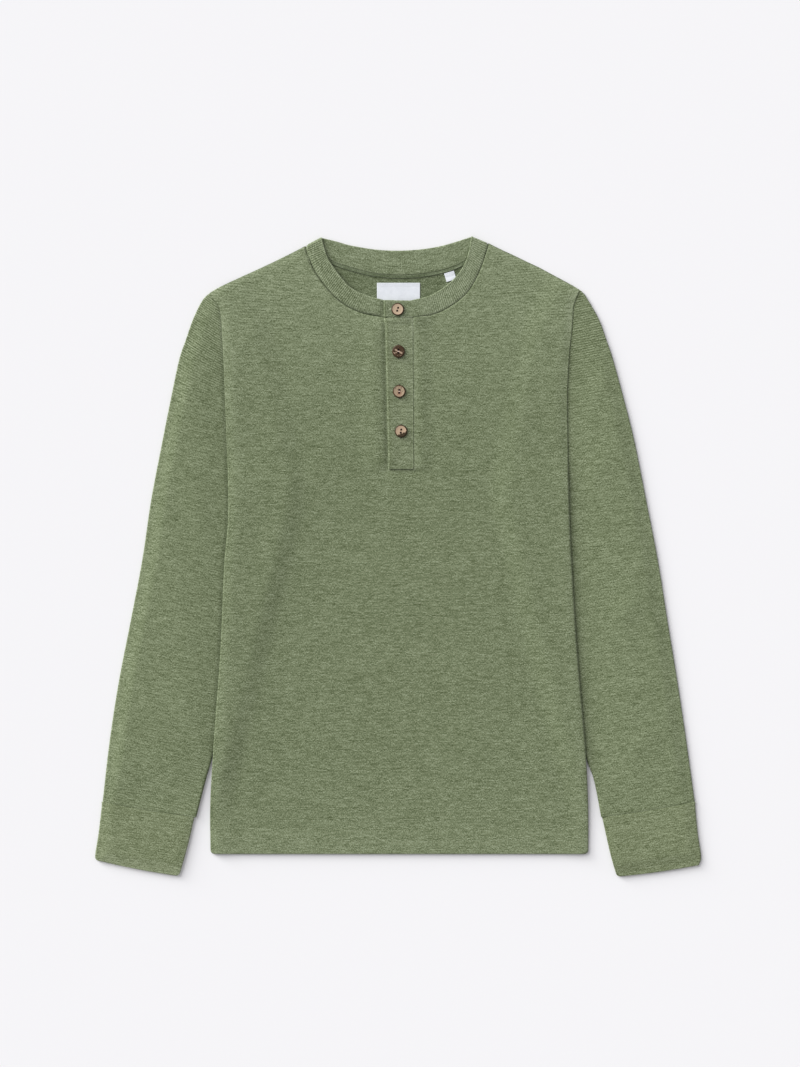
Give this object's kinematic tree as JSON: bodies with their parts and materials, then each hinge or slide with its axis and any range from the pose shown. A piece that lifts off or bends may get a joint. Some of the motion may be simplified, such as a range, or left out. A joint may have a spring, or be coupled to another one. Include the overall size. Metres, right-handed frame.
{
  "type": "long-sleeved henley shirt, laid flat",
  "caption": "Long-sleeved henley shirt in green heathered knit, laid flat front up, with a round neckband, a buttoned placket and plain doubled cuffs.",
  "frame": {"origin": "centre of the shirt's outline, on the surface it lies on", "axes": "+Z out of the front, away from the surface; +Y toward the neck; +X toward the wearer's left sleeve"},
  "size_m": [0.7085, 0.7453, 0.0093],
  "materials": {
    "knit": "matt green heathered knit",
    "rib": "matt green heathered fine rib",
    "tape": "matt dark green knit strip",
    "button": "polished tan and brown coconut shell",
    "label": "white woven satin"
  },
  "bodies": {
    "root": {"front_panel": "knit", "back_panel": "knit", "sleeve_right": "knit", "sleeve_left": "knit", "cuff_right": "knit", "cuff_left": "knit", "neckband": "rib", "placket_top": "knit", "placket_under": "knit", "neck_tape": "tape", "button_1": "button", "button_2": "button", "button_3": "button", "button_4": "button", "main_label": "label", "size_label": "label"}
  },
  "joints": []
}
